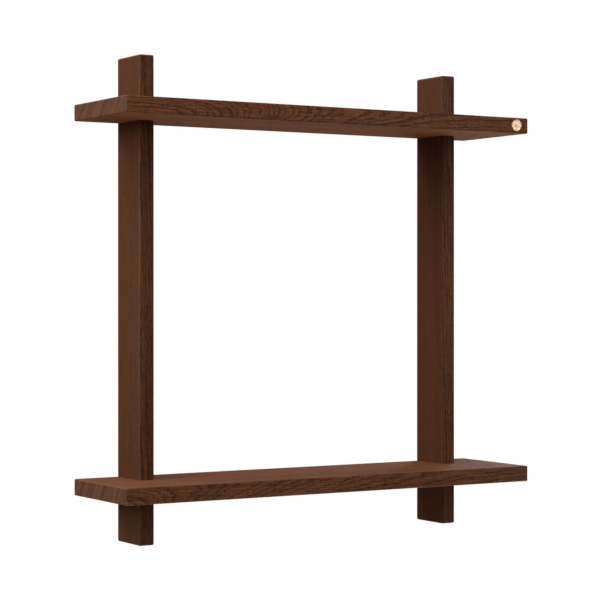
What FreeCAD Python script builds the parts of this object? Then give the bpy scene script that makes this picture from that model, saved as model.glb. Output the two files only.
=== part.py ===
import FreeCAD, Part
import math
import os
import re
import Sketcher

# An open wall rack in solid oak: two boards cross-lapped into two uprights, which hang on the wall.
# Millimetres, +Z up, -Y into the room, +X to the right of someone who faces the rack.
# The wall plane is y = 0. The origin lies half-way between the entry holes of the two wall hangers.

# Driving sizes, in millimetres unless the name says otherwise: (alias, value, what it sets)
SIZES = (
    ("board_length", 640, "length of each board"),
    ("board_depth", 156, "depth of each board, wall to front edge"),
    ("board_thickness", 22, "thickness of each board"),
    ("board_edge_radius", 1.8, "rounding of the boards' outer edges"),
    ("clear_gap", 476, "clear height between the boards"),
    ("upright_width", 22, "width of each upright, across the rack"),
    ("upright_depth", 66, "depth of each upright, wall to front face"),
    ("upright_edge_radius", 2.5, "rounding of the uprights' outer edges"),
    ("end_overhang", 64, "board end to the outer side of the nearer upright"),
    ("top_stub", 65, "upright above the upper board"),
    ("bottom_stub", 65, "upright below the lower board"),
    ("lap_depth", 33, "depth of the upright's web behind each board"),
    ("lap_clearance", 0.1, "gap on each side of an upright in a board's notch"),
    ("joint_screw_diameter", 5, "outside diameter of the joint screw's thread"),
    ("joint_screw_length", 60, "joint screw from under its head to its point"),
    ("joint_head_diameter", 9.5, "joint screw's head"),
    ("joint_head_height", 3.2, "joint screw's head"),
    ("joint_head_chamfer", 0.6, "chamfer round the joint screw's head"),
    ("joint_socket_size", 4, "hexagon socket, across its corners"),
    ("joint_socket_depth", 2.2, "hexagon socket"),
    ("joint_point_length", 6, "taper at the joint screw's end"),
    ("joint_thread_length", 42, "threaded end of the joint screw"),
    ("joint_thread_pitch", 2.5, "spacing of the joint screw's thread"),
    ("joint_thread_depth", 0.7, "depth of the joint screw's thread"),
    ("counterbore_depth", 9, "sinking of the joint screw's head seat below the upright's back"),
    ("counterbore_clearance", 0.5, "radial gap round the joint screw's head"),
    ("screw_clearance", 0.05, "radial gap round every screw and pin in its hole"),
    ("tip_clearance", 2, "hole beyond the end of a screw or pin"),
    ("hanger_width", 15.5, "width of the hanger plate"),
    ("hanger_thickness", 2, "thickness of the hanger plate"),
    ("hanger_drop", 39, "top of the upright to the centre of the hanger's entry hole"),
    ("hanger_recess_clearance", 0.15, "gap round the hanger plate in its recess"),
    ("entry_diameter", 10, "entry hole for the wall screw's head"),
    ("slot_width", 5, "slot that the wall screw's neck rises in"),
    ("slot_rise", 11, "entry hole's centre to the top centre of the slot"),
    ("hanger_bridge", 3.5, "steel between a hanger screw's head and the keyhole"),
    ("hanger_end_margin", 5.5, "hanger screw's centre to the end of the plate"),
    ("head_room_depth", 12, "space for the wall screw's head, from the wall plane"),
    ("head_room_clearance", 0.5, "head space beyond the entry hole's edge"),
    ("hanger_screw_diameter", 3, "shank of the hanger screw"),
    ("hanger_screw_head", 6, "countersunk head of the hanger screw"),
    ("hanger_screw_length", 16, "hanger screw with its head"),
    ("hanger_screw_point", 3, "taper at the hanger screw's end"),
    ("cross_recess_length", 3, "arm to arm of the cross recess"),
    ("cross_recess_width", 0.7, "arm width of the cross recess"),
    ("cross_recess_depth", 1.1, "depth of the cross recess"),
    ("pad_diameter", 12, "felt wall pad"),
    ("pad_thickness", 2, "felt wall pad"),
    ("pad_sink", 1, "part of the pad's thickness that is let in"),
    ("pad_recess_clearance", 0.2, "radial gap round the pad"),
    ("pad_rise", 24, "bottom of the upright to the pad's centre"),
    ("badge_diameter", 17.5, "brass badge"),
    ("badge_end_distance", 21, "board's right end to the badge's centre"),
    ("badge_sink", 1.2, "depth of the badge's seat"),
    ("badge_proud", 0.5, "badge's face in front of the board's edge"),
    ("badge_bevel", 0.35, "bevel round the badge's face"),
    ("badge_seat_clearance", 0.12, "radial gap round the badge in its seat"),
    ("badge_pin_diameter", 3, "pin behind the badge"),
    ("badge_pin_length", 10, "pin behind the badge"),
    ("badge_pin_taper", 1, "lead at the pin's end"),
)

# Sizes that follow from the driving ones
HALF_LENGTH = "board_length / 2"
UPRIGHT_CENTRE = "(board_length / 2 - end_overhang - upright_width / 2)"
UPRIGHT_HEIGHT = "(bottom_stub + 2 * board_thickness + clear_gap + top_stub)"
UPRIGHT_FOOT = f"(hanger_drop - {UPRIGHT_HEIGHT})"
LOWER_BOARD = f"({UPRIGHT_FOOT} + bottom_stub)"
UPPER_BOARD = f"({LOWER_BOARD} + board_thickness + clear_gap)"
BOARD_MIDDLE = "board_thickness / 2"
NOTCH_WIDTH = "(upright_width + 2 * lap_clearance)"
ENTRY_HEIGHT = f"({UPRIGHT_HEIGHT} - hanger_drop)"
LOWER_HANGER_SCREW = "(-entry_diameter / 2 - hanger_bridge - hanger_screw_head / 2)"
UPPER_HANGER_SCREW = "(slot_rise + slot_width / 2 + hanger_bridge + hanger_screw_head / 2)"
PLATE_FOOT = f"({LOWER_HANGER_SCREW} - hanger_end_margin + hanger_width / 2)"
PLATE_HEAD = f"({UPPER_HANGER_SCREW} + hanger_end_margin - hanger_width / 2)"
JOINT_HOLE_DIAMETER = "(joint_screw_diameter + 2 * screw_clearance)"
JOINT_HOLE_DEPTH = "(counterbore_depth + joint_screw_length + tip_clearance)"
HANGER_HOLE_DIAMETER = "(hanger_screw_diameter + 2 * screw_clearance)"
HANGER_HOLE_DEPTH = "(hanger_screw_length + tip_clearance)"
BADGE_HOLE_DIAMETER = "(badge_pin_diameter + 2 * screw_clearance)"
BADGE_HOLE_DEPTH = "(badge_pin_length + tip_clearance)"
BADGE_CENTRE = "(board_length / 2 - badge_end_distance)"

SIDES = (("left", "-"), ("right", ""))
LEVELS = (("lower", LOWER_BOARD), ("upper", UPPER_BOARD))
HANGER_ENDS = (("lower", LOWER_HANGER_SCREW), ("upper", UPPER_HANGER_SCREW))

ORIGIN_POINT = (-1, 1)
ACROSS_AXIS = -1
UP_AXIS = -2
FULL_TURN = 360
TINY = 1e-9

doc = FreeCAD.newDocument("wall_rack")
sheet = doc.addObject("Spreadsheet::Sheet", "Sizes")
for row, (alias, number, meaning) in enumerate(SIZES, start=1):
    sheet.set(f"A{row}", alias)
    sheet.set(f"B{row}", str(number))
    sheet.setAlias(f"B{row}", alias)
    sheet.set(f"C{row}", meaning)
doc.recompute()


def value(formula):
    """The number that a formula in the sheet's names comes to."""
    return float(sheet.evalExpression(formula))


def linked(formula):
    """The formula with each name written as a cell of the sheet, for use in another object."""
    return re.sub(r"[a-z]+(_[a-z]+)+", r"Sizes.\g<0>", formula)


def bind(thing, prop, formula):
    thing.setExpression(prop, linked(formula))


def new_body(label, **place):
    """An empty body that stands at the given formulas of x, y and z."""
    body = doc.addObject("PartDesign::Body", label)
    body.Label = label
    for axis, formula in place.items():
        bind(body, f"Placement.Base.{axis}", formula)
    return body


def origin_plane(body, role):
    return next(plane for plane in body.Origin.OriginFeatures if plane.Role == role)


def new_sketch(body, role, name):
    sketch = body.newObject("Sketcher::SketchObject", name)
    sketch.AttachmentSupport = (origin_plane(body, role), "")
    sketch.MapMode = "FlatFace"
    return sketch


def measure(sketch, kind, *ends, formula):
    """A dimension of the sketch that follows a formula."""
    index = sketch.addConstraint(Sketcher.Constraint(kind, *ends, value(formula)))
    bind(sketch, f"Constraints[{index}]", formula)


def place_point(sketch, point, across, up):
    """Sets a sketch point by formulas of its two coordinates, which may be negative or zero."""
    for kind, axis, formula in (("DistanceX", UP_AXIS, across), ("DistanceY", ACROSS_AXIS, up)):
        number = value(formula)
        if abs(number) < TINY:
            sketch.addConstraint(Sketcher.Constraint("PointOnObject", *point, axis))
        elif number > 0:
            measure(sketch, kind, *ORIGIN_POINT, *point, formula=formula)
        else:
            measure(sketch, kind, *point, *ORIGIN_POINT, formula=f"-({formula})")


def draw_outline(sketch, corners):
    """A closed outline of straight edges through corners, each given by two formulas."""
    points = [FreeCAD.Vector(value(across), value(up), 0) for across, up in corners]
    first = sketch.GeometryCount
    count = len(points)
    for index, point in enumerate(points):
        sketch.addGeometry(Part.LineSegment(point, points[(index + 1) % count]))
    for index in range(count):
        following = first + (index + 1) % count
        sketch.addConstraint(Sketcher.Constraint("Coincident", first + index, 2, following, 1))
    for index, (across, up) in enumerate(corners):
        place_point(sketch, (first + index, 1), across, up)


def draw_rectangle(sketch, left, low, right, high):
    draw_outline(sketch, ((left, low), (right, low), (right, high), (left, high)))


def draw_circle(sketch, across, up, diameter):
    centre = FreeCAD.Vector(value(across), value(up), 0)
    index = sketch.addGeometry(Part.Circle(centre, FreeCAD.Vector(0, 0, 1), value(diameter) / 2))
    place_point(sketch, (index, 3), across, up)
    measure(sketch, "Diameter", index, formula=diameter)


def draw_slot(sketch, across, low, high, width):
    """An upright slot with round ends, whose end centres are at the heights low and high."""
    middle, radius = value(across), value(width) / 2
    bottom, top = value(low), value(high)
    normal = FreeCAD.Vector(0, 0, 1)
    low_circle = Part.Circle(FreeCAD.Vector(middle, bottom, 0), normal, radius)
    high_circle = Part.Circle(FreeCAD.Vector(middle, top, 0), normal, radius)
    low_arc = sketch.addGeometry(Part.ArcOfCircle(low_circle, math.pi, 2 * math.pi))
    high_arc = sketch.addGeometry(Part.ArcOfCircle(high_circle, 0, math.pi))
    right_foot = FreeCAD.Vector(middle + radius, bottom, 0)
    right_head = FreeCAD.Vector(middle + radius, top, 0)
    left_head = FreeCAD.Vector(middle - radius, top, 0)
    left_foot = FreeCAD.Vector(middle - radius, bottom, 0)
    right_line = sketch.addGeometry(Part.LineSegment(right_foot, right_head))
    left_line = sketch.addGeometry(Part.LineSegment(left_head, left_foot))
    corners = ((low_arc, 2, right_line, 1), (right_line, 2, high_arc, 1))
    corners += ((high_arc, 2, left_line, 1), (left_line, 2, low_arc, 1))
    for corner in corners:
        sketch.addConstraint(Sketcher.Constraint("Tangent", *corner))
    sketch.addConstraint(Sketcher.Constraint("Equal", low_arc, high_arc))
    place_point(sketch, (low_arc, 3), across, low)
    place_point(sketch, (high_arc, 3), across, high)
    measure(sketch, "Diameter", low_arc, formula=width)


def pad(body, sketch, length, reverse=False):
    feature = body.newObject("PartDesign::Pad", f"{sketch.Name}_pad")
    feature.Profile = sketch
    feature.Reversed = reverse
    bind(feature, "Length", length)
    doc.recompute()
    return feature


def must_cut(body, before, name):
    """Stops the build if a feature that should remove material didn't."""
    if not body.Shape.isValid() or before - body.Shape.Volume < TINY:
        raise RuntimeError(f"{name} removes nothing from {body.Label}")


def pocket(body, sketch, depth=None, reverse=True):
    """Removes the sketch's outline to a depth behind its plane, or right through both ways."""
    before = body.Shape.Volume
    feature = body.newObject("PartDesign::Pocket", f"{sketch.Name}_pocket")
    feature.Profile = sketch
    if depth is None:
        feature.SideType = "Symmetric"
        feature.Type = "ThroughAll"
    else:
        feature.Reversed = reverse
        bind(feature, "Length", depth)
    doc.recompute()
    must_cut(body, before, feature.Name)
    return feature


def revolve(body, corners):
    """A turned piece about its own Y axis, from corners given as radius and height."""
    sketch = new_sketch(body, "XY_Plane", "Profile")
    draw_outline(sketch, corners)
    feature = body.newObject("PartDesign::Revolution", "Turned")
    feature.Profile = sketch
    feature.ReferenceAxis = (sketch, ["V_Axis"])
    feature.Angle = FULL_TURN
    doc.recompute()
    return feature


def round_edges(body, feature, names, radius):
    fillet = body.newObject("PartDesign::Fillet", "Rounding")
    fillet.Base = (feature, names)
    bind(fillet, "Radius", radius)
    doc.recompute()
    return fillet


def all_edges(feature):
    return [f"Edge{number}" for number in range(1, len(feature.Shape.Edges) + 1)]


def make_board(label, height, badge_seat):
    """A board with its rear edge on the wall plane and a notch in that edge for each upright."""
    body = new_body(label, z=height)
    plan = new_sketch(body, "XY_Plane", "Plan")
    draw_rectangle(plan, f"-{HALF_LENGTH}", "-board_depth", HALF_LENGTH, "0")
    blank = pad(body, plan, "board_thickness")
    round_edges(body, blank, all_edges(blank), "board_edge_radius")
    notches = new_sketch(body, "XY_Plane", "Notches")
    for _, sign in SIDES:
        left = f"{sign}{UPRIGHT_CENTRE} - {NOTCH_WIDTH} / 2"
        right = f"{sign}{UPRIGHT_CENTRE} + {NOTCH_WIDTH} / 2"
        draw_rectangle(notches, left, "-lap_depth", right, "0")
    pocket(body, notches)
    screw_holes = new_sketch(body, "XZ_Plane", "ScrewHoles")
    for _, sign in SIDES:
        draw_circle(screw_holes, f"{sign}{UPRIGHT_CENTRE}", BOARD_MIDDLE, JOINT_HOLE_DIAMETER)
    pocket(body, screw_holes, JOINT_HOLE_DEPTH)
    if badge_seat:
        seat = new_sketch(body, "XZ_Plane", "BadgeSeat")
        bind(seat, "AttachmentOffset.Base.z", "board_depth")
        draw_circle(seat, BADGE_CENTRE, BOARD_MIDDLE, "badge_diameter + 2 * badge_seat_clearance")
        pocket(body, seat, "badge_sink", reverse=False)
        pin_hole = new_sketch(body, "XZ_Plane", "BadgePinHole")
        bind(pin_hole, "AttachmentOffset.Base.z", "board_depth")
        draw_circle(pin_hole, BADGE_CENTRE, BOARD_MIDDLE, BADGE_HOLE_DIAMETER)
        pocket(body, pin_hole, BADGE_HOLE_DEPTH, reverse=False)
    return body


def make_upright(label, across):
    """A plank on edge with its back on the wall plane and a notch in its front for each board."""
    body = new_body(label, x=across, z=UPRIGHT_FOOT)
    plan = new_sketch(body, "XY_Plane", "Plan")
    draw_rectangle(plan, "-upright_width / 2", "-upright_depth", "upright_width / 2", "0")
    blank = pad(body, plan, UPRIGHT_HEIGHT)
    round_edges(body, blank, all_edges(blank), "upright_edge_radius")
    notches = new_sketch(body, "YZ_Plane", "Notches")
    board_feet = [f"({height} - {UPRIGHT_FOOT})" for _, height in LEVELS]
    for foot in board_feet:
        draw_rectangle(notches, "-upright_depth", foot, "-lap_depth", f"{foot} + board_thickness")
    pocket(body, notches)

    seats = new_sketch(body, "XZ_Plane", "HeadSeats")
    shanks = new_sketch(body, "XZ_Plane", "ShankHoles")
    for foot in board_feet:
        middle = f"{foot} + {BOARD_MIDDLE}"
        draw_circle(seats, "0", middle, "joint_head_diameter + 2 * counterbore_clearance")
        draw_circle(shanks, "0", middle, JOINT_HOLE_DIAMETER)
    pocket(body, seats, "counterbore_depth")
    pocket(body, shanks, "lap_depth")

    recess = new_sketch(body, "XZ_Plane", "HangerRecess")
    recess_foot = f"{ENTRY_HEIGHT} + {PLATE_FOOT}"
    recess_head = f"{ENTRY_HEIGHT} + {PLATE_HEAD}"
    draw_slot(recess, "0", recess_foot, recess_head, "hanger_width + 2 * hanger_recess_clearance")
    pocket(body, recess, "hanger_thickness")
    head_room = new_sketch(body, "XZ_Plane", "HeadRoom")
    head_room_width = "entry_diameter + 2 * head_room_clearance"
    draw_slot(head_room, "0", ENTRY_HEIGHT, f"{ENTRY_HEIGHT} + slot_rise", head_room_width)
    pocket(body, head_room, "head_room_depth")
    pilots = new_sketch(body, "XZ_Plane", "HangerPilots")
    for _, screw_height in HANGER_ENDS:
        draw_circle(pilots, "0", f"{ENTRY_HEIGHT} + {screw_height}", HANGER_HOLE_DIAMETER)
    pocket(body, pilots, HANGER_HOLE_DEPTH)

    pad_recess = new_sketch(body, "XZ_Plane", "PadRecess")
    draw_circle(pad_recess, "0", "pad_rise", "pad_diameter + 2 * pad_recess_clearance")
    pocket(body, pad_recess, "pad_sink")
    return body


def make_joint_screw(label, across, height):
    """A furniture screw from behind, with its head's underside on the upright's counterbore."""
    body = new_body(label, x=across, y="-counterbore_depth", z=height)
    shank = "joint_screw_diameter / 2"
    head = "joint_head_diameter / 2"
    corners = (
        ("0", "joint_head_height"),
        (f"{head} - joint_head_chamfer", "joint_head_height"),
        (head, "joint_head_height - joint_head_chamfer"),
        (head, "0"),
        (shank, "0"),
        (shank, "joint_point_length - joint_screw_length"),
        ("0", "-joint_screw_length"),
    )
    revolve(body, corners)
    before = body.Shape.Volume
    socket = body.newObject("PartDesign::SubtractivePrism", "Socket")
    socket.AttachmentSupport = (origin_plane(body, "XZ_Plane"), "")
    socket.MapMode = "FlatFace"
    socket.Polygon = 6
    bind(socket, "Circumradius", "joint_socket_size / 2")
    bind(socket, "Height", "joint_socket_depth")
    bind(socket, "AttachmentOffset.Base.z", "-joint_head_height")
    doc.recompute()
    must_cut(body, before, "the socket")

    ring = new_sketch(body, "XY_Plane", "ThreadRing")
    start = "joint_screw_length - joint_point_length"
    ring_low = f"-({start}) + joint_thread_pitch * 0.1"
    ring_middle = f"-({start}) + joint_thread_pitch * 0.5"
    ring_high = f"-({start}) + joint_thread_pitch * 0.9"
    ring_floor = f"{shank} - joint_thread_depth"
    draw_outline(ring, ((shank, ring_low), (shank, ring_high), (ring_floor, ring_middle)))
    groove = body.newObject("PartDesign::Groove", "ThreadGroove")
    groove.Profile = ring
    groove.ReferenceAxis = (ring, ["V_Axis"])
    groove.Angle = FULL_TURN
    doc.recompute()
    before = body.Shape.Volume
    thread = body.newObject("PartDesign::LinearPattern", "Thread")
    thread.Originals = [groove]
    thread.Direction = (ring, ["V_Axis"])
    threaded = "(joint_thread_length - joint_point_length)"
    bind(thread, "Occurrences", f"floor({threaded} / joint_thread_pitch)")
    bind(thread, "Length", f"joint_thread_pitch * (floor({threaded} / joint_thread_pitch) - 1)")
    body.Tip = thread
    doc.recompute()
    must_cut(body, before, "the thread")
    return body


def make_hanger_plate(label, across):
    """A keyhole hanger: a steel strip with round ends, an entry hole, a slot and two screw holes."""
    body = new_body(label, x=across, y="-hanger_thickness")
    outline = new_sketch(body, "XZ_Plane", "Outline")
    draw_slot(outline, "0", PLATE_FOOT, PLATE_HEAD, "hanger_width")
    pad(body, outline, "hanger_thickness", reverse=True)
    entry = new_sketch(body, "XZ_Plane", "EntryHole")
    draw_circle(entry, "0", "0", "entry_diameter")
    pocket(body, entry)
    slot = new_sketch(body, "XZ_Plane", "Slot")
    draw_slot(slot, "0", "0", "slot_rise", "slot_width")
    pocket(body, slot)
    head = "hanger_screw_head / 2"
    bore = f"({HANGER_HOLE_DIAMETER} / 2)"
    for end, height in HANGER_ENDS:
        hole = new_sketch(body, "XZ_Plane", f"{end}_screw_hole")
        draw_circle(hole, "0", height, HANGER_HOLE_DIAMETER)
        pocket(body, hole)
        before = body.Shape.Volume
        sink = body.newObject("PartDesign::SubtractiveCone", f"{end}_countersink")
        sink.AttachmentSupport = (origin_plane(body, "XZ_Plane"), "")
        sink.MapMode = "FlatFace"
        bind(sink, "Radius1", head)
        bind(sink, "Radius2", bore)
        bind(sink, "Height", f"{head} - {bore}")
        bind(sink, "AttachmentOffset.Base.y", height)
        bind(sink, "AttachmentOffset.Base.z", "-hanger_thickness")
        doc.recompute()
        must_cut(body, before, sink.Name)
    return body


def make_hanger_screw(label, across, height):
    """A small countersunk screw with a cross recess, flush with the hanger plate."""
    body = new_body(label, x=across, z=height)
    head = "hanger_screw_head / 2"
    shank = "hanger_screw_diameter / 2"
    corners = (
        ("0", "0"),
        (head, "0"),
        (shank, f"{shank} - {head}"),
        (shank, "hanger_screw_point - hanger_screw_length"),
        ("0", "-hanger_screw_length"),
    )
    revolve(body, corners)
    half_long = "cross_recess_length / 2"
    half_wide = "cross_recess_width / 2"
    for name, wide, tall in (("Level", half_long, half_wide), ("Plumb", half_wide, half_long)):
        arm = new_sketch(body, "XZ_Plane", f"{name}Arm")
        draw_rectangle(arm, f"-{wide}", f"-{tall}", wide, tall)
        pocket(body, arm, "cross_recess_depth")
    return body


def make_wall_pad(label, across):
    """A felt disc that stands a little proud of the upright's back."""
    body = new_body(label, x=across, y="-pad_sink", z=f"{UPRIGHT_FOOT} + pad_rise")
    outline = new_sketch(body, "XZ_Plane", "Outline")
    draw_circle(outline, "0", "0", "pad_diameter")
    pad(body, outline, "pad_thickness", reverse=True)
    return body


def make_badge(label):
    """A brass disc with a bevelled face and a pin, let into the front edge of a board."""
    height = f"{UPPER_BOARD} + {BOARD_MIDDLE}"
    body = new_body(label, x=BADGE_CENTRE, y="-board_depth", z=height)
    rim = "badge_diameter / 2"
    pin = "badge_pin_diameter / 2"
    corners = (
        ("0", "-badge_proud"),
        (f"{rim} - badge_bevel", "-badge_proud"),
        (rim, "badge_bevel - badge_proud"),
        (rim, "badge_sink"),
        (pin, "badge_sink"),
        (pin, "badge_pin_length - badge_pin_taper"),
        (f"{pin} - badge_pin_taper / 2", "badge_pin_length"),
        ("0", "badge_pin_length"),
    )
    revolve(body, corners)
    return body


def make_rack():
    """Every piece of the rack, in the order that they go together."""
    pieces = [make_board(f"{level}_board", height, level == "upper") for level, height in LEVELS]
    for side, sign in SIDES:
        across = f"{sign}{UPRIGHT_CENTRE}"
        pieces.append(make_upright(f"{side}_upright", across))
        for level, height in LEVELS:
            middle = f"{height} + {BOARD_MIDDLE}"
            pieces.append(make_joint_screw(f"{level}_{side}_joint_screw", across, middle))
        pieces.append(make_hanger_plate(f"{side}_hanger_plate", across))
        for end, height in HANGER_ENDS:
            pieces.append(make_hanger_screw(f"{side}_hanger_screw_{end}", across, height))
        pieces.append(make_wall_pad(f"{side}_wall_pad", across))
    pieces.append(make_badge("brass_badge"))
    return pieces


def check_document():
    doc.recompute()
    for thing in doc.Objects:
        faults = [state for state in thing.State if state in ("Invalid", "Error")]
        if faults:
            raise RuntimeError(f"{thing.Label} is {faults}")


def write_pieces(pieces):
    os.makedirs("parts", exist_ok=True)
    for piece in pieces:
        shape = piece.Shape
        if shape.isNull() or not shape.isValid() or len(shape.Solids) != 1:
            raise RuntimeError(f"{piece.Label} isn't one valid solid")
        shape.exportStep(f"parts/{piece.Label}.step")
        print(f"{piece.Label:28s} {shape.Volume:12.1f} mm3")


rack = make_rack()
check_document()
write_pieces(rack)
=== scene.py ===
"""Oak wall rack: two boards let into two uprights, finished and lit.

Run as a script, it loads the rack's fixed frame and gives every piece its real finish: smoked oak
with its own growth rings in each plank, a turned brass badge, zinc plated hangers, black joint
screws and felt wall pads. Lengths are metres, and millimetres where a name ends in _mm.
"""

import math

import bmesh
import bpy
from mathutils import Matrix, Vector, noise


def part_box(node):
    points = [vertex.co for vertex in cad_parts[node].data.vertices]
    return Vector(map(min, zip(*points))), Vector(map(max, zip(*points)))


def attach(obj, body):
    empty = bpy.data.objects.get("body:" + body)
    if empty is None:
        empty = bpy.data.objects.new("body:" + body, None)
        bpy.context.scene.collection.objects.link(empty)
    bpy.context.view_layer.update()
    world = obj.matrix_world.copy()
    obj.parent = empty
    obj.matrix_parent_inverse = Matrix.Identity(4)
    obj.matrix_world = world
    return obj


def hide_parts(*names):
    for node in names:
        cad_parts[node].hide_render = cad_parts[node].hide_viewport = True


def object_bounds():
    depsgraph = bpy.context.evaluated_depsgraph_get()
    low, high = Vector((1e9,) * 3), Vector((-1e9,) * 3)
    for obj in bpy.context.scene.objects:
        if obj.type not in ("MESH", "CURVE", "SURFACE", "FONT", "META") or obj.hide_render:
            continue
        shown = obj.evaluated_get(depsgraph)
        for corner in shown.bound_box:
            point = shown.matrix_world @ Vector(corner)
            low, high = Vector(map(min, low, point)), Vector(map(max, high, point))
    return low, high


bl_info = {
    "name": "Oak wall rack",
    "version": (1, 0, 0),
    "blender": (4, 5, 0),
    "location": "3D View > Sidebar > Wall rack",
    "description": "Gives an oak wall rack its wood, brass, steel and felt finishes",
    "category": "Object",
}

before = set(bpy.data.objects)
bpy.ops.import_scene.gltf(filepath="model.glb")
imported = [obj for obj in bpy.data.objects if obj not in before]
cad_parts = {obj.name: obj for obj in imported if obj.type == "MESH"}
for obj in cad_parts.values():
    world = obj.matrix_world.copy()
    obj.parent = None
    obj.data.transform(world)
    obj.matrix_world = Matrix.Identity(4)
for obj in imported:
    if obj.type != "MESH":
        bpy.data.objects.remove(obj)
CAD_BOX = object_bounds()

MM = 0.001
ACROSS_GRAIN = 1  # both boards and uprights are deepest along Y, which is across their grain


def linear(colour):
    """Turns an sRGB colour such as "#6b4834" into the three linear numbers that Blender uses."""
    shares = [int(colour[i : i + 2], 16) / 255 for i in (1, 3, 5)]
    return [s / 12.92 if s <= 0.04045 else ((s + 0.055) / 1.055) ** 2.4 for s in shares]


# ---------------------------------------------------------------- sizes and colours to change


class OakSettings(bpy.types.PropertyGroup):
    """Colours and figure of the smoked oak."""

    light_wood: bpy.props.FloatVectorProperty(
        name="Light wood",
        description="Dense wood between the rings",
        subtype="COLOR",
        min=0,
        max=1,
        default=linear("#7a4a2b"),
    )
    middle_wood: bpy.props.FloatVectorProperty(
        name="Middle wood",
        description="Main colour of the smoked oak",
        subtype="COLOR",
        min=0,
        max=1,
        default=linear("#572d10"),
    )
    dark_wood: bpy.props.FloatVectorProperty(
        name="Dark wood",
        description="Stain gathered in the open pores",
        subtype="COLOR",
        min=0,
        max=1,
        default=linear("#351605"),
    )
    # The grey wax colour is painted sheen: a grey mixed into the wide faces in place of the sheen of the
    # finish.
    grey_painted_sheen: bpy.props.FloatVectorProperty(
        name="Grey wax",
        description="Film of wax on the planed wide faces",
        subtype="COLOR",
        min=0,
        max=1,
        default=linear("#5c4535"),
    )
    ring_width: bpy.props.FloatProperty(
        name="Ring width", description="One year's growth", default=2.3 * MM, unit="LENGTH"
    )
    pore_width: bpy.props.FloatProperty(
        name="Pore width",
        description="An oak pore is 0.3 mm wide, and is drawn coarser so that it shows",
        default=1.0 * MM,
        unit="LENGTH",
    )
    pore_length: bpy.props.FloatProperty(
        name="Pore length",
        description="A pore cut open along the grain",
        default=7 * MM,
        unit="LENGTH",
    )
    # The line along the corners is partly the stain sanded thin and partly painted light: painted
    # highlight where a corner faces the lamps, painted shade where it faces away.
    corner_line_width: bpy.props.FloatProperty(
        name="Edge rub",
        description="Width of the lighter line where the stain is sanded thin at the corners",
        default=1.6 * MM,
        unit="LENGTH",
    )


class BadgeSettings(bpy.types.PropertyGroup):
    """Turned brass badge in the upper board's front edge."""

    brass: bpy.props.FloatVectorProperty(
        name="Brass",
        description="Satin brass, as turned",
        subtype="COLOR",
        min=0,
        max=1,
        default=linear("#f8cfa6"),
    )
    groove_depth: bpy.props.FloatProperty(
        name="Groove depth", description="Turned rings on the face", default=0.25 * MM, unit="LENGTH"
    )
    bevel: bpy.props.FloatProperty(
        name="Bevel", description="Broken edge of the face", default=0.35 * MM, unit="LENGTH"
    )


class StageSettings(bpy.types.PropertyGroup):
    """Floor, lights and camera."""

    floor_drop: bpy.props.FloatProperty(
        name="Floor drop",
        description="From the feet of the uprights down to the floor",
        default=0.9,
        unit="LENGTH",
    )
    floor_radius: bpy.props.FloatProperty(
        name="Floor radius", description="Round pale floor", default=2.0, unit="LENGTH"
    )
    camera_turn: bpy.props.FloatProperty(
        name="Camera turn",
        description="Angle round the rack from straight in front, positive to its right",
        default=math.radians(-31.37),
        subtype="ANGLE",
    )
    camera_distance: bpy.props.FloatProperty(
        name="Camera distance",
        description="Level distance from the rack's middle",
        default=2.70,
        unit="LENGTH",
    )
    camera_rise: bpy.props.FloatProperty(
        name="Camera rise",
        description="Height of the camera above the rack's middle",
        default=7 * MM,
        unit="LENGTH",
    )
    camera_side_aim: bpy.props.FloatProperty(
        name="Side aim",
        description="How far left of the rack's middle the camera looks",
        default=15 * MM,
        unit="LENGTH",
    )
    camera_lens: bpy.props.FloatProperty(
        name="Lens", description="Focal length on a 36 mm sensor, in millimetres", default=117.5
    )


# ---------------------------------------------------------------- nodes and meshes


def add(nodes, kind, links=None, **settings):
    """Adds a shader node. links gives its inputs by name or number: a node, a socket or a plain value."""
    node = nodes.new("ShaderNode" + kind)
    for name, value in settings.items():
        setattr(node, name, value)
    for name, value in (links or {}).items():
        if isinstance(value, bpy.types.Node):
            value = value.outputs[0]
        if isinstance(value, bpy.types.NodeSocket):
            node.id_data.links.new(value, node.inputs[name])
        else:
            node.inputs[name].default_value = value
    return node


def new_finish(name):
    """A new material with an empty node tree, as (material, its nodes)."""
    material = bpy.data.materials.new(name)
    material.use_nodes = True
    nodes = material.node_tree.nodes
    nodes.clear()
    return material, nodes


def give_finish(piece, material):
    """Puts the material in the piece's only slot."""
    piece.data.materials.clear()
    piece.data.materials.append(material)


def nodes_named(word):
    """The fixed pieces with the word in their names. There has to be at least one."""
    found = [node for name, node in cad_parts.items() if word in name]
    if not found:
        raise RuntimeError("the rack has no piece with " + word + " in its name")
    return found


def ramp(nodes, factor, stops):
    """A smooth colour ramp through stops, each (place, linear colour)."""
    node = add(nodes, "ValToRGB", {"Fac": factor})
    elements = node.color_ramp.elements
    while len(elements) < len(stops):
        elements.new(0.5)
    for element, (place, colour) in zip(elements, stops):
        element.position = place
        element.color = (*colour, 1)
    return node


def along_curve(nodes, share, points):
    """A curve from 0 to 1 through the given points."""
    node = add(nodes, "FloatCurve", {"Value": share})
    node.mapping.clip_min_y = -1
    curve = node.mapping.curves[0]
    while len(curve.points) < len(points):
        curve.points.new(0.5, 0.5)
    for point, place in zip(curve.points, points):
        point.location = place
    node.mapping.update()
    return node


def from_angles(turn, rise):
    """The direction at that angle round from straight in front, positive to the right, and above level."""
    level = math.cos(rise)
    return Vector((math.sin(turn) * level, -math.cos(turn) * level, math.sin(rise)))


def new_piece(name, mesh_tool):
    """A mesh object made from a bmesh, which is freed."""
    mesh = bpy.data.meshes.new(name)
    mesh_tool.to_mesh(mesh)
    mesh_tool.free()
    piece = bpy.data.objects.new(name, mesh)
    bpy.context.scene.collection.objects.link(piece)
    return piece


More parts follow.
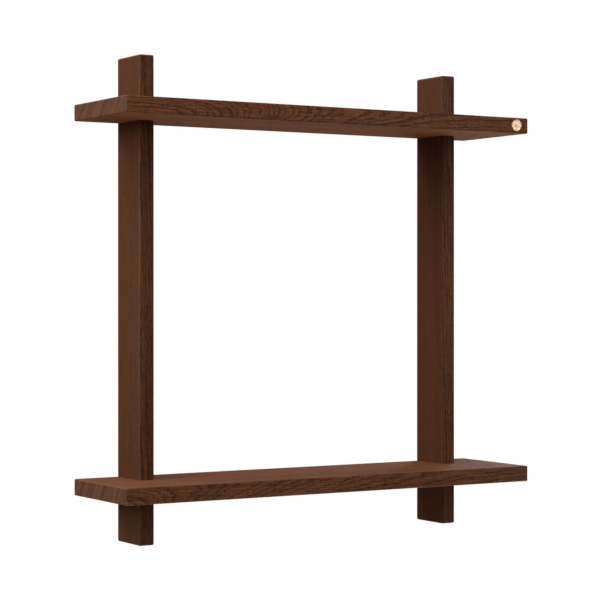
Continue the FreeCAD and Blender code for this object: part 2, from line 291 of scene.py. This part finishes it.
def turn_profile(profile, centre, steps):
    """A bmesh turned round Y at centre. profile is (radius, y) from the front middle round to the back."""
    tool = bmesh.new()
    rings = []
    for radius, y in profile:
        if radius == 0:
            rings.append([tool.verts.new((centre[0], y, centre[2]))])
            continue
        turn = [2 * math.pi * i / steps for i in range(steps)]
        rings.append(
            [
                tool.verts.new(
                    (centre[0] + radius * math.cos(t), y, centre[2] + radius * math.sin(t))
                )
                for t in turn
            ]
        )
    for ring, following in zip(rings, rings[1:]):
        for i in range(steps):
            j = (i + 1) % steps
            if len(ring) == 1:
                tool.faces.new((ring[0], following[i], following[j]))
            elif len(following) == 1:
                tool.faces.new((ring[i], following[0], ring[j]))
            else:
                tool.faces.new((ring[i], following[i], following[j], ring[j]))
    bmesh.ops.recalc_face_normals(tool, faces=tool.faces)
    for face in tool.faces:
        face.smooth = True
    for edge in tool.edges:
        edge.smooth = edge.calc_face_angle(0) < math.radians(35)
    return tool


# ---------------------------------------------------------------- finishes

# How each plank was sawn from its log, from its start to its end along the grain. tilt says how the
# rings lean across the plank's thickness, from -1 to 1: near 0 they show as nested arches on the
# front edge, and further off as slanting lines. drift is how far the rings slide towards the front, as a
# share of 100 mm: the steeper it is, the shorter the figure. The lightness numbers multiply the wood's
# colour on the narrow edges, on the lower or left wide face, and on the upper or right wide face: the
# darker upright edges are the wood's own tone, and the much lighter lower face of each board is painted
# light in place of light from below. figure is how strongly the grain shows on the edges and on the wide
# faces. corners is how much lighter the line along the corners is, or darker where below 0, on the lower
# or left side, and on the upper or right side: partly stain sanded thin, and partly painted light, a
# painted highlight where a rounded corner faces the lamps and painted shade along the boards' corners
# and where a corner faces away from them. The grey share on the wide faces is a painted sheen, mixed in
# in place of the sheen of the finish. These four were set by comparison for one angle under these
# lights, and aren't measured properties of the wood.
PLANKS = {
    "upper_board": {
        "along": 0,
        "thick": 2,
        "tilt": ((0, 0.9), (0.12, 0.5), (0.3, 0.05), (0.42, -0.12), (0.65, -0.33), (1, -0.6)),
        "drift": ((0, 0), (0.1, 0.01), (0.27, 0.15), (0.4, 0.36), (0.64, 0.52), (1, 0.6)),
        "arch": 0.011,
        "lightness_and_painted_light": (1.04, 2.0, 1.35),
        "figure": (1.4, 1.0),
        "corners": (-0.4, -0.35),
        "painted_sheen": 0.08,
        "cut_from": (0.0, 0.0, 0.0),
    },
    "lower_board": {
        "along": 0,
        "thick": 2,
        "tilt": ((0, 0.6), (0.1, 0.1), (0.25, -0.3), (0.5, -0.4), (0.75, -0.3), (1, -0.7)),
        "drift": ((0, 0), (0.1, 0.07), (0.27, 0.2), (0.5, 0.35), (0.75, 0.42), (1, 0.45)),
        "arch": 0.008,
        "lightness_and_painted_light": (0.95, 1.7, 1.42),
        "figure": (1.3, 1.0),
        "corners": (-0.3, -0.2),
        "painted_sheen": 0.12,
        "cut_from": (1.7, 3.1, 0.4),
    },
    "left_upright": {
        "along": 2,
        "thick": 0,
        "tilt": ((0, 0.5), (0.3, 0.35), (0.6, 0.5), (1, 0.3)),
        "drift": ((0, 0), (0.3, 0.03), (0.6, 0.05), (1, 0.1)),
        "arch": 0.004,
        "lightness_and_painted_light": (0.65, 0.88, 0.88),
        "figure": (1.1, 0.5),
        "corners": (0.2, -0.05),
        "painted_sheen": 0.18,
        "cut_from": (4.2, 0.9, 2.3),
    },
    "right_upright": {
        "along": 2,
        "thick": 0,
        "tilt": ((0, -0.4), (0.35, -0.5), (0.7, -0.3), (1, -0.45)),
        "drift": ((0, 0.08), (0.35, 0.05), (0.7, 0.03), (1, 0)),
        "arch": 0.004,
        "lightness_and_painted_light": (0.8, 0.8, 0.82),
        "figure": (1.5, 0.5),
        "corners": (-0.4, 0.1),
        "painted_sheen": 0.06,
        "cut_from": (2.9, 5.5, 1.2),
    },
}
DRIFT_SCALE_MM = 100


def smoked_oak(name, oak):
    """Oak, planed, smoked and oiled matt: dark brown, with fine open pores along darker growth rings
    that give a dull, slightly broken sheen. A thin line along the corners is partly lighter where the
    stain was sanded thin, and partly painted light: painted highlight where a corner faces the lamps and
    painted shade where it faces away. The lower wide face of each board is painted lighter in place of
    light from below, and the wide faces have a grey painted sheen mixed in.
    """
    plank = PLANKS[name]
    low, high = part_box(name)
    middle = (low + high) / 2
    half = (high - low) / 2
    material, nodes = new_finish("smoked_oak_" + name)
    place = add(nodes, "TexCoord").outputs["Object"]
    place = add(nodes, "VectorMath", {0: place, 1: middle}, operation="SUBTRACT")
    place = add(nodes, "VectorMath", {0: place, "Scale": 1 / MM}, operation="SCALE")
    apart = add(nodes, "SeparateXYZ", {0: place})
    along = apart.outputs[plank["along"]]
    across = apart.outputs[ACROSS_GRAIN]
    thick = apart.outputs[plank["thick"]]
    half_length_mm = half[plank["along"]] / MM
    depth_mm = 2 * half[ACROSS_GRAIN] / MM

    # Growth rings: their depth in the log, which is the depth in the plank with its lean and drift.
    share = add(
        nodes,
        "MapRange",
        {"Value": along, "From Min": -half_length_mm, "From Max": half_length_mm},
    )
    tilt = along_curve(nodes, share, plank["tilt"])
    drift = along_curve(nodes, share, plank["drift"])
    towards_front = add(
        nodes,
        "MapRange",
        {"Value": across, "From Min": depth_mm / 2, "From Max": -depth_mm / 2, "To Max": DRIFT_SCALE_MM},
    )
    drifted = add(nodes, "Math", {0: drift, 1: towards_front}, operation="MULTIPLY")
    leaning = add(nodes, "Math", {0: tilt, 1: thick}, operation="MULTIPLY")
    arched = add(nodes, "Math", {0: thick, 1: 2}, operation="POWER")
    depth = add(nodes, "Math", {0: across, 1: drifted}, operation="ADD")
    depth = add(nodes, "Math", {0: depth, 1: leaning}, operation="ADD")
    depth = add(nodes, "Math", {0: arched, 1: plank["arch"], 2: depth}, operation="MULTIPLY_ADD")

    # Coordinates along the grain, across the rings and along them, shifted so that no plank repeats
    # another.
    grain = add(nodes, "CombineXYZ", {0: along, 1: across, 2: thick})
    shift_mm = [1000 * step for step in plank["cut_from"]]
    grain = add(nodes, "VectorMath", {0: grain, 1: shift_mm}, operation="ADD")

    def streaks(length_mm, width_mm, detail=2.0, height_mm=None):
        """Noise in streaks of that length along the grain and that width across it."""
        stretch = (1 / length_mm, 1 / width_mm, 1 / (height_mm or width_mm))
        at = add(nodes, "VectorMath", {0: grain, 1: stretch}, operation="MULTIPLY")
        return add(nodes, "TexNoise", {"Vector": at, "Scale": 1, "Detail": detail, "Roughness": 0.55})

    wander_mm = 5
    wander = streaks(120, 26, 2)
    depth = add(nodes, "Math", {0: wander, 1: wander_mm, 2: depth}, operation="MULTIPLY_ADD")
    ripple_mm = 2.4
    ripple = streaks(8, 2.8, 2)
    depth = add(nodes, "Math", {0: ripple, 1: ripple_mm, 2: depth}, operation="MULTIPLY_ADD")
    years = add(nodes, "Math", {0: depth, 1: oak.ring_width / MM}, operation="DIVIDE")
    uneven = add(nodes, "TexNoise", {"W": years, "Scale": 0.37, "Detail": 1}, noise_dimensions="1D")
    uneven_years = 1.8
    years = add(nodes, "Math", {0: uneven, 1: uneven_years, 2: years}, operation="MULTIPLY_ADD")
    season = add(nodes, "Math", {0: years}, operation="FRACT")
    early_wood = ramp(
        nodes,
        season,
        ((0, [0.6] * 3), (0.05, [1] * 3), (0.22, [0.7] * 3), (0.42, [0.05] * 3), (0.96, [0] * 3)),
    )
    # Wet and dry spells of some years, which show as broad darker and lighter stripes.
    spells = add(nodes, "TexNoise", {"W": years, "Scale": 0.21, "Detail": 2}, noise_dimensions="1D")

    # Pores open along the grain, mostly in the early wood of each ring.
    pores = streaks(oak.pore_length / MM, oak.pore_width / MM, 1)
    pore_level = add(nodes, "MapRange", {"Value": early_wood, "To Min": 0.6, "To Max": 0.46})
    pore_depth = add(nodes, "Math", {0: pores, 1: pore_level}, operation="SUBTRACT")
    pore_depth = add(
        nodes,
        "MapRange",
        {"Value": pore_depth, "From Min": -0.02, "From Max": 0.1},
        interpolation_type="SMOOTHSTEP",
    )

    # Fibres, broad shade changes along the plank, specks and the small shiny plates of the rays.
    fibres = streaks(40, 1.3, 4)
    shades = streaks(260, 40, 2)
    specks = streaks(5, 1.8, 3)
    rays = streaks(14, 5, 1, 0.9)
    ray_plates = add(
        nodes,
        "MapRange",
        {"Value": rays, "From Min": 0.6, "From Max": 0.7},
        interpolation_type="SMOOTHSTEP",
    )

    # Faces: how far inside each pair of faces, which is 0 on the face and less within.
    reach = add(nodes, "VectorMath", {0: place}, operation="ABSOLUTE")
    reach = add(nodes, "VectorMath", {0: reach, 1: half / MM}, operation="SUBTRACT")
    inside = add(nodes, "SeparateXYZ", {0: reach})
    to_wide = inside.outputs[plank["thick"]]
    to_edge = inside.outputs[ACROSS_GRAIN]
    to_end = inside.outputs[plank["along"]]
    nearer = add(nodes, "Math", {0: to_wide, 1: to_edge}, operation="MAXIMUM")
    further = add(nodes, "Math", {0: to_wide, 1: to_edge}, operation="MINIMUM")

    def face_mask(near, other):
        """1 where the first face is nearer than the other, and 0 where it isn't."""
        gap = add(nodes, "Math", {0: near, 1: other}, operation="SUBTRACT")
        return add(
            nodes,
            "MapRange",
            {"Value": gap, "From Min": -0.5, "From Max": 0.5},
            interpolation_type="SMOOTHSTEP",
        )

    wide_face = face_mask(to_wide, to_edge)
    end_face = face_mask(to_end, nearer)
    # Corners: how near the second nearest face is, which is 0 on a corner, frayed by the fibres.
    frayed_mm = 1.4
    corner_starts_mm = 0.6 - oak.corner_line_width / MM
    corner_is_full_mm = 0.7
    second = add(nodes, "Math", {0: nearer, 1: to_end}, operation="MINIMUM")
    second = add(nodes, "Math", {0: further, 1: second}, operation="MAXIMUM")
    second = add(nodes, "Math", {0: fibres, 1: frayed_mm, 2: second}, operation="MULTIPLY_ADD")
    corner = add(
        nodes,
        "MapRange",
        {"Value": second, "From Min": corner_starts_mm, "From Max": corner_is_full_mm},
        interpolation_type="SMOOTHSTEP",
    )

    def from_side_to_side(start, end):
        """From start on the lower or left side to end on the upper or right side."""
        half_thick_mm = half[plank["thick"]] / MM
        return add(
            nodes,
            "MapRange",
            {
                "Value": thick,
                "From Min": -half_thick_mm,
                "From Max": half_thick_mm,
                "To Min": start,
                "To Max": end,
            },
        )

    # Corner line, lighter or darker by side: partly stain sanded thin, partly painted highlight and
    # painted shade on the rounded corners.
    corner_rub_and_painted_light = from_side_to_side(*plank["corners"])
    # The corner at the plank's start gets a painted highlight, lighter than the other corners, over its
    # first 1 to 3 mm.
    start_highlight = 0.35
    painted_start_highlight = add(
        nodes,
        "MapRange",
        {
            "Value": along,
            "From Min": 1 - half_length_mm,
            "From Max": 3 - half_length_mm,
            "To Min": start_highlight,
            "To Max": 0,
        },
    )
    corner_rub_and_painted_light = add(nodes, "Math", {0: corner_rub_and_painted_light, 1: painted_start_highlight}, operation="ADD")

    # Tone from 0, stain in a pore, to 1, the light line on a corner, which is partly sanded and partly
    # painted highlight: the fibres, and what each other cause adds.
    fibre_tone = 0.25
    mean_tone = 0.415
    middle_tone = 0.5
    causes = (
        (early_wood, -0.3),
        (pore_depth, -0.3),
        (spells, 0.4),
        (shades, 0.25),
        (specks, 0.55),
        (ray_plates, 0.06),
    )
    tone = add(
        nodes,
        "MapRange",
        {
            "Value": fibres,
            "From Min": 0.3,
            "From Max": 0.7,
            "To Min": -fibre_tone,
            "To Max": fibre_tone,
        },
    )
    for cause, weight in causes:
        tone = add(nodes, "Math", {0: cause, 1: weight, 2: tone}, operation="MULTIPLY_ADD")
    tone = add(nodes, "Math", {0: tone, 1: mean_tone}, operation="SUBTRACT")
    edge_figure, wide_figure = plank["figure"]
    figure = add(
        nodes, "MapRange", {"Value": wide_face, "To Min": edge_figure, "To Max": wide_figure}
    )
    tone = add(nodes, "Math", {0: tone, 1: figure, 2: middle_tone}, operation="MULTIPLY_ADD")
    # Adds the corner line: painted highlight and painted shade, with some stain sanded thin.
    tone = add(nodes, "Math", {0: corner, 1: corner_rub_and_painted_light, 2: tone}, operation="MULTIPLY_ADD")
    colour = ramp(
        nodes, tone, ((0, oak.dark_wood), (middle_tone, oak.middle_wood), (1, oak.light_wood))
    )
    # Painted light: the lower wide face of each board is made much lighter in place of light from below.
    # The darker edges of the uprights are the wood's own tone.
    edge_lightness, start_lightness_and_painted_light, end_lightness = plank["lightness_and_painted_light"]
    wide_lightness_and_painted_light = from_side_to_side(start_lightness_and_painted_light, end_lightness)
    lightness_and_painted_light = add(
        nodes, "MapRange", {"Value": wide_face, "To Min": edge_lightness, "To Max": wide_lightness_and_painted_light}
    )
    colour = add(nodes, "VectorMath", {0: colour, "Scale": lightness_and_painted_light}, operation="SCALE")
    # Painted sheen: grey mixed into the wide faces in place of the sheen of the finish.
    painted_sheen_share = add(nodes, "Math", {0: wide_face, 1: plank["painted_sheen"]}, operation="MULTIPLY")
    grey_painted_sheen = (*oak.grey_painted_sheen, 1)
    colour = add(
        nodes, "Mix", {"Factor": painted_sheen_share, 6: colour, 7: grey_painted_sheen}, data_type="RGBA"
    ).outputs[2]
    # End grain is greyer and striped, because wax stands in the open pores of each spell of years.
    end_grain = ramp(nodes, spells, ((0.4, linear("#4d3224")), (0.62, linear("#684738"))))
    end_wax = 0.8
    waxed = add(nodes, "Math", {0: end_face, 1: end_wax}, operation="MULTIPLY")
    colour = add(
        nodes, "Mix", {"Factor": waxed, 6: colour, 7: end_grain}, data_type="RGBA"
    ).outputs[2]

    # Sheen: pores and early wood are rougher, ray plates and the lighter corner lines shine a little.
    roughness = add(nodes, "MapRange", {"Value": tone, "To Min": 0.64, "To Max": 0.52})
    relief = add(nodes, "Math", {0: early_wood, 1: 0.35, 2: pore_depth}, operation="MULTIPLY_ADD")
    relief = add(nodes, "Math", {0: fibres, 1: -0.5, 2: relief}, operation="MULTIPLY_ADD")
    grooves = add(
        nodes, "Bump", {"Height": relief, "Strength": 0.6, "Distance": 0.25 * MM}, invert=True
    )
    surface = add(
        nodes,
        "BsdfPrincipled",
        {
            "Base Color": colour,
            "Roughness": roughness,
            "Normal": grooves,
            "IOR": 1.5,
            "Specular IOR Level": 0.24,
        },
    )
    add(nodes, "OutputMaterial", {"Surface": surface})
    return material


def satin_brass(badge):
    """Brass, turned and brushed satin: warm pale yellow, with fine rings round the middle left by the
    tool and duller grooves where polish doesn't reach."""
    material, nodes = new_finish("satin_brass_turned")
    low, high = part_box("brass_badge")
    middle = (low + high) / 2
    place = add(nodes, "TexCoord").outputs["Object"]
    place = add(nodes, "VectorMath", {0: place, 1: middle}, operation="SUBTRACT")
    flat = add(nodes, "VectorMath", {0: place, 1: (1, 0, 1)}, operation="MULTIPLY")
    radius = add(nodes, "VectorMath", {0: flat}, operation="LENGTH").outputs["Value"]
    # Tool marks are 0.1 mm apart, and are drawn at 0.5 mm so that they show.
    marks = add(
        nodes,
        "TexNoise",
        {"W": radius, "Scale": 1 / (0.5 * MM), "Detail": 2},
        noise_dimensions="1D",
    )
    smudges = add(nodes, "TexNoise", {"Vector": place, "Scale": 1 / (5 * MM), "Detail": 3})
    worn = add(nodes, "Math", {0: marks, 1: smudges}, operation="MULTIPLY")
    colour = ramp(
        nodes,
        worn,
        ((0.05, linear("#d3a677")), (0.22, badge.brass), (0.5, linear("#ffe2c4"))),
    )
    roughness = add(
        nodes, "MapRange", {"Value": worn, "From Max": 0.6, "To Min": 0.34, "To Max": 0.24}
    )
    relief = add(nodes, "Bump", {"Height": marks, "Strength": 0.25, "Distance": 0.05 * MM})
    surface = add(
        nodes,
        "BsdfPrincipled",
        {"Base Color": colour, "Roughness": roughness, "Normal": relief, "Metallic": 1},
    )
    add(nodes, "OutputMaterial", {"Surface": surface})
    return material


def zinc_plated_steel():
    """Pressed steel, bright zinc plated: cool pale grey with a faint blue cast, cloudy patches and
    fine rolling lines under the plating."""
    material, nodes = new_finish("zinc_plated_steel")
    place = add(nodes, "TexCoord").outputs["Object"]
    # Rolling lines 0.4 mm wide and 30 mm long, standing up the plate.
    stretch = (1 / (0.4 * MM), 1 / (0.4 * MM), 1 / (30 * MM))
    rolled = add(nodes, "VectorMath", {0: place, 1: stretch}, operation="MULTIPLY")
    lines = add(nodes, "TexNoise", {"Vector": rolled, "Scale": 1, "Detail": 2})
    clouds = add(nodes, "TexNoise", {"Vector": place, "Scale": 1 / (7 * MM), "Detail": 4})
    blend = add(nodes, "Math", {0: lines, 1: clouds}, operation="MULTIPLY")
    colour = ramp(
        nodes, blend, ((0.08, linear("#9a9fa3")), (0.25, linear("#b9bec2")), (0.5, linear("#d3d6d8")))
    )
    roughness = add(
        nodes,
        "MapRange",
        {"Value": clouds, "From Min": 0.3, "From Max": 0.7, "To Min": 0.26, "To Max": 0.44},
    )
    relief = add(nodes, "Bump", {"Height": lines, "Strength": 0.2, "Distance": 0.03 * MM})
    surface = add(
        nodes,
        "BsdfPrincipled",
        {"Base Color": colour, "Roughness": roughness, "Normal": relief, "Metallic": 1},
    )
    add(nodes, "OutputMaterial", {"Surface": surface})
    return material


def black_oxide_steel():
    """Steel screws, black oxide and oiled: nearly black with brown patches, and a low grey shine."""
    material, nodes = new_finish("black_oxide_steel")
    place = add(nodes, "TexCoord").outputs["Object"]
    patches = add(nodes, "TexNoise", {"Vector": place, "Scale": 1 / (2.5 * MM), "Detail": 4})
    colour = ramp(
        nodes, patches, ((0.3, linear("#17171a")), (0.55, linear("#26262a")), (0.75, linear("#3a3330")))
    )
    roughness = add(
        nodes,
        "MapRange",
        {"Value": patches, "From Min": 0.3, "From Max": 0.7, "To Min": 0.34, "To Max": 0.52},
    )
    relief = add(nodes, "Bump", {"Height": patches, "Strength": 0.2, "Distance": 0.03 * MM})
    surface = add(
        nodes,
        "BsdfPrincipled",
        {"Base Color": colour, "Roughness": roughness, "Normal": relief, "Metallic": 1},
    )
    add(nodes, "OutputMaterial", {"Surface": surface})
    return material


def needled_felt():
    """Wool felt, needled: dull grey brown, with short tangled fibres and no shine but a soft fuzz."""
    material, nodes = new_finish("needled_wool_felt")
    place = add(nodes, "TexCoord").outputs["Object"]
    # Wool is 0.03 mm thick, and is drawn in tangles of 0.6 mm so that it shows.
    tangles = add(
        nodes,
        "TexNoise",
        {"Vector": place, "Scale": 1 / (0.6 * MM), "Detail": 4, "Distortion": 1.5},
    )
    clumps = add(nodes, "TexVoronoi", {"Vector": place, "Scale": 1 / (1.1 * MM)})
    height = add(nodes, "Math", {0: tangles, 1: clumps}, operation="ADD")
    colour = ramp(
        nodes, height, ((0.5, linear("#3a332d")), (0.8, linear("#5b5148")), (1, linear("#7b7064")))
    )
    roughness = add(nodes, "MapRange", {"Value": tangles, "To Min": 1, "To Max": 0.85})
    relief = add(nodes, "Bump", {"Height": height, "Strength": 0.8, "Distance": 0.3 * MM})
    surface = add(
        nodes,
        "BsdfPrincipled",
        {
            "Base Color": colour,
            "Roughness": roughness,
            "Normal": relief,
            "IOR": 1.5,
            "Sheen Weight": 0.4,
            "Sheen Roughness": 0.6,
        },
    )
    add(nodes, "OutputMaterial", {"Surface": surface})
    return material


def pale_floor():
    """Matt painted floor, pale warm grey with a faint roller texture, fading out at its rim."""
    material, nodes = new_finish("matt_painted_floor")
    place = add(nodes, "TexCoord").outputs["Object"]
    stipple = add(nodes, "TexNoise", {"Vector": place, "Scale": 1 / (8 * MM), "Detail": 3})
    colour = ramp(nodes, stipple, ((0.3, linear("#e6e4e0")), (0.7, linear("#efedea"))))
    relief = add(nodes, "Bump", {"Height": stipple, "Strength": 0.1, "Distance": 0.5 * MM})
    paint = add(
        nodes,
        "BsdfPrincipled",
        {"Base Color": colour, "Roughness": 0.8, "Normal": relief, "IOR": 1.5},
    )
    away = add(nodes, "VectorMath", {0: place}, operation="LENGTH").outputs["Value"]
    radius = bpy.context.scene.rack_stage.floor_radius
    fade = add(
        nodes,
        "MapRange",
        {"Value": away, "From Min": 0.45 * radius, "From Max": 0.98 * radius},
        interpolation_type="SMOOTHSTEP",
    )
    clear = add(nodes, "BsdfTransparent")
    mixed = add(nodes, "MixShader", {0: fade, 1: paint, 2: clear})
    add(nodes, "OutputMaterial", {"Surface": mixed})
    return material


# ---------------------------------------------------------------- operators


class RACK_OT_oil_boards(bpy.types.Operator):
    """Gives both boards their smoked oak, each with its own rings"""

    bl_idname = "rack.oil_boards"
    bl_label = "Oil the boards"

    def execute(self, context):
        for name in ("upper_board", "lower_board"):
            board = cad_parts[name]
            give_finish(board, smoked_oak(name, context.scene.rack_oak))
        return {"FINISHED"}


class RACK_OT_oil_uprights(bpy.types.Operator):
    """Gives both uprights their smoked oak, each with its own rings"""

    bl_idname = "rack.oil_uprights"
    bl_label = "Oil the uprights"

    def execute(self, context):
        for name in ("left_upright", "right_upright"):
            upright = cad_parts[name]
            give_finish(upright, smoked_oak(name, context.scene.rack_oak))
        return {"FINISHED"}


class RACK_OT_turn_badge(bpy.types.Operator):
    """Turns the round brass badge, with a raised rim and one fine ring, in place of its plain solid"""

    bl_idname = "rack.turn_badge"
    bl_label = "Turn the badge"

    def execute(self, context):
        badge = context.scene.rack_badge
        low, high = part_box("brass_badge")
        middle = (low + high) / 2
        radius = (high.x - low.x) / 2
        front = low.y
        face = front + badge.groove_depth
        dimple = face - 0.1 * MM
        ring = front + 0.05 * MM
        seat_depth = 1.2 * MM
        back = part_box("upper_board")[0].y + seat_depth
        pin_radius = 1.5 * MM
        pin_point = 0.5 * MM
        profile = [
            (0, dimple),
            (0.06 * radius, dimple),
            (0.10 * radius, face),
            (0.30 * radius, face),
            (0.33 * radius, ring),
            (0.38 * radius, ring),
            (0.41 * radius, face),
            (0.78 * radius, face),
            (0.82 * radius, front),
            (radius - badge.bevel, front),
            (radius - 0.3 * badge.bevel, front + 0.3 * badge.bevel),
            (radius, front + badge.bevel),
            (radius, back),
            (pin_radius, back),
            (pin_radius, high.y - pin_point),
            (pin_radius - pin_point, high.y),
            (0, high.y),
        ]
        piece = new_piece("brass_badge_turned", turn_profile(profile, middle, 96))
        give_finish(piece, satin_brass(badge))
        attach(piece, "root")
        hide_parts("brass_badge")
        return {"FINISHED"}


class RACK_OT_plate_hangers(bpy.types.Operator):
    """Gives the keyhole hangers and their screws bright zinc plating"""

    bl_idname = "rack.plate_hangers"
    bl_label = "Plate the hangers"

    def execute(self, context):
        zinc = zinc_plated_steel()
        for node in nodes_named("hanger"):
            give_finish(node, zinc)
        return {"FINISHED"}


class RACK_OT_blacken_screws(bpy.types.Operator):
    """Gives the four joint screws their black oxide"""

    bl_idname = "rack.blacken_screws"
    bl_label = "Blacken the joint screws"

    def execute(self, context):
        black = black_oxide_steel()
        for node in nodes_named("joint_screw"):
            give_finish(node, black)
        return {"FINISHED"}


class RACK_OT_cut_pads(bpy.types.Operator):
    """Makes the soft felt pads low on the back of the uprights, in place of their plain solids"""

    bl_idname = "rack.cut_pads"
    bl_label = "Cut the wall pads"

    def execute(self, context):
        felt = needled_felt()
        side_gap = 0.05 * MM
        corner = 0.5 * MM
        fuzz_room = 0.1 * MM
        fuzz_height = 0.12 * MM
        fuzz_size = 0.9 * MM
        corner_steps = 6
        rings = 16
        for side in ("left", "right"):
            low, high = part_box(side + "_wall_pad")
            middle = (low + high) / 2
            radius = (high.x - low.x) / 2 - side_gap
            back = high.y - fuzz_room
            profile = [(0, low.y), (radius, low.y), (radius, middle.y)]
            for i in range(corner_steps + 1):
                turn = math.radians(90 * i / corner_steps)
                profile.append(
                    (
                        radius - corner * (1 - math.cos(turn)),
                        back - corner * (1 - math.sin(turn)),
                    )
                )
            # The back face has closely spaced rings, so that its fuzz is in the mesh.
            for i in range(1, rings + 1):
                profile.append(((radius - corner) * (1 - i / rings), back))
            tool = turn_profile(profile, middle, 72)
            for vertex in tool.verts:
                if vertex.co.y > middle.y:
                    fuzz = noise.fractal(vertex.co / fuzz_size, 0.6, 2.0, 3)
                    vertex.co.y = min(high.y, vertex.co.y + fuzz_height * fuzz)
            piece = new_piece(side + "_felt_pad", tool)
            give_finish(piece, felt)
            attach(piece, "root")
            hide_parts(side + "_wall_pad")
        return {"FINISHED"}


class RACK_OT_set_stage(bpy.types.Operator):
    """Lays the pale floor, hangs the soft lights and sets the camera"""

    bl_idname = "rack.set_stage"
    bl_label = "Set the stage"

    def execute(self, context):
        stage = context.scene.rack_stage
        low, high = CAD_BOX
        middle = (low + high) / 2
        self.lay_floor(stage, low, middle)
        self.hang_lights(context, middle)
        self.set_camera(context, stage, middle)
        return {"FINISHED"}

    def lay_floor(self, stage, low, middle):
        """A round floor, well below the feet of the uprights."""
        tool = bmesh.new()
        bmesh.ops.create_circle(tool, cap_ends=True, segments=128, radius=stage.floor_radius)
        floor = new_piece("floor", tool)
        floor.location = (middle.x, middle.y, low.z - stage.floor_drop)
        give_finish(floor, pale_floor())

    def hang_lights(self, context, middle):
        """Soft boxes, each (name, turn, rise, distance, size, watts) in degrees and metres, and a
        dim surround that is white where it is seen."""
        boxes = (
            ("left_box", -70, 22, 3.0, 1.6, 56),
            ("left_high_box", -110, 55, 3.0, 1.6, 51),
            ("front_high_box", 0, 55, 3.0, 1.6, 35),
            ("front_left_box", -35, 20, 3.0, 1.6, 5),
            ("right_box", 70, 20, 3.0, 1.6, 14),
            ("behind_right_box", 121, 9, 3.0, 1.6, 26),
            ("behind_high_box", 180, 40, 3.0, 1.6, 9),
            ("low_left_box", -70, -35, 1.9, 1.6, 2.6),
            ("low_right_box", 100, -55, 1.3, 1.6, 9),
            ("badge_box", 43, 9, 3.2, 0.6, 3),
        )
        for name, turn, rise, distance, size, watts in boxes:
            lamp = bpy.data.lights.new(name, "AREA")
            lamp.size = size
            lamp.energy = watts
            box = bpy.data.objects.new(name, lamp)
            context.scene.collection.objects.link(box)
            towards = from_angles(math.radians(turn), math.radians(rise))
            box.location = middle + towards * distance
            box.rotation_euler = (-towards).to_track_quat("-Z", "Y").to_euler()
            box.visible_camera = False
        world = bpy.data.worlds.new("white_surround")
        context.scene.world = world
        world.use_nodes = True
        nodes = world.node_tree.nodes
        nodes.clear()
        seen = add(nodes, "LightPath").outputs["Is Camera Ray"]
        dim_light = 0.04
        strength = add(nodes, "MapRange", {"Value": seen, "To Min": dim_light, "To Max": 1})
        surround = add(nodes, "Background", {"Color": (1, 1, 1, 1), "Strength": strength.outputs[0]})
        add(nodes, "OutputWorld", {"Surface": surround})
        context.scene.view_settings.view_transform = "Standard"

    def set_camera(self, context, stage, middle):
        """A camera turned round the rack by camera_turn, without shift, aimed just left of its middle."""
        lens = bpy.data.cameras.new("camera")
        lens.lens = stage.camera_lens
        camera = bpy.data.objects.new("camera", lens)
        context.scene.collection.objects.link(camera)
        target = middle - Vector((stage.camera_side_aim, 0, 0))
        away = from_angles(stage.camera_turn, 0)
        camera.location = target + away * stage.camera_distance + Vector((0, 0, stage.camera_rise))
        camera.rotation_euler = (target - camera.location).to_track_quat("-Z", "Y").to_euler()
        context.scene.camera = camera


MAKERS = (
    RACK_OT_oil_boards,
    RACK_OT_oil_uprights,
    RACK_OT_turn_badge,
    RACK_OT_plate_hangers,
    RACK_OT_blacken_screws,
    RACK_OT_cut_pads,
    RACK_OT_set_stage,
)


class RACK_PT_wall_rack(bpy.types.Panel):
    """Lists the rack's sizes, colours and operators"""

    bl_idname = "RACK_PT_wall_rack"
    bl_label = "Wall rack"
    bl_space_type = "VIEW_3D"
    bl_region_type = "UI"
    bl_category = "Wall rack"

    def draw(self, context):
        column = self.layout.column()
        for settings in (context.scene.rack_oak, context.scene.rack_badge, context.scene.rack_stage):
            for name in settings.bl_rna.properties.keys():
                if name not in ("rna_type", "name"):
                    column.prop(settings, name)
        for maker in MAKERS:
            column.operator(maker.bl_idname)


SETTINGS = {"rack_oak": OakSettings, "rack_badge": BadgeSettings, "rack_stage": StageSettings}


def register():
    for kind in (*SETTINGS.values(), *MAKERS, RACK_PT_wall_rack):
        bpy.utils.register_class(kind)
    for name, kind in SETTINGS.items():
        setattr(bpy.types.Scene, name, bpy.props.PointerProperty(type=kind))


def unregister():
    for name in SETTINGS:
        delattr(bpy.types.Scene, name)
    for kind in (RACK_PT_wall_rack, *reversed(MAKERS), *reversed(SETTINGS.values())):
        bpy.utils.unregister_class(kind)


def main():
    register()
    bpy.ops.rack.oil_boards()
    bpy.ops.rack.oil_uprights()
    bpy.ops.rack.turn_badge()
    bpy.ops.rack.plate_hangers()
    bpy.ops.rack.blacken_screws()
    bpy.ops.rack.cut_pads()
    bpy.ops.rack.set_stage()


if __name__ == "__main__":
    main()
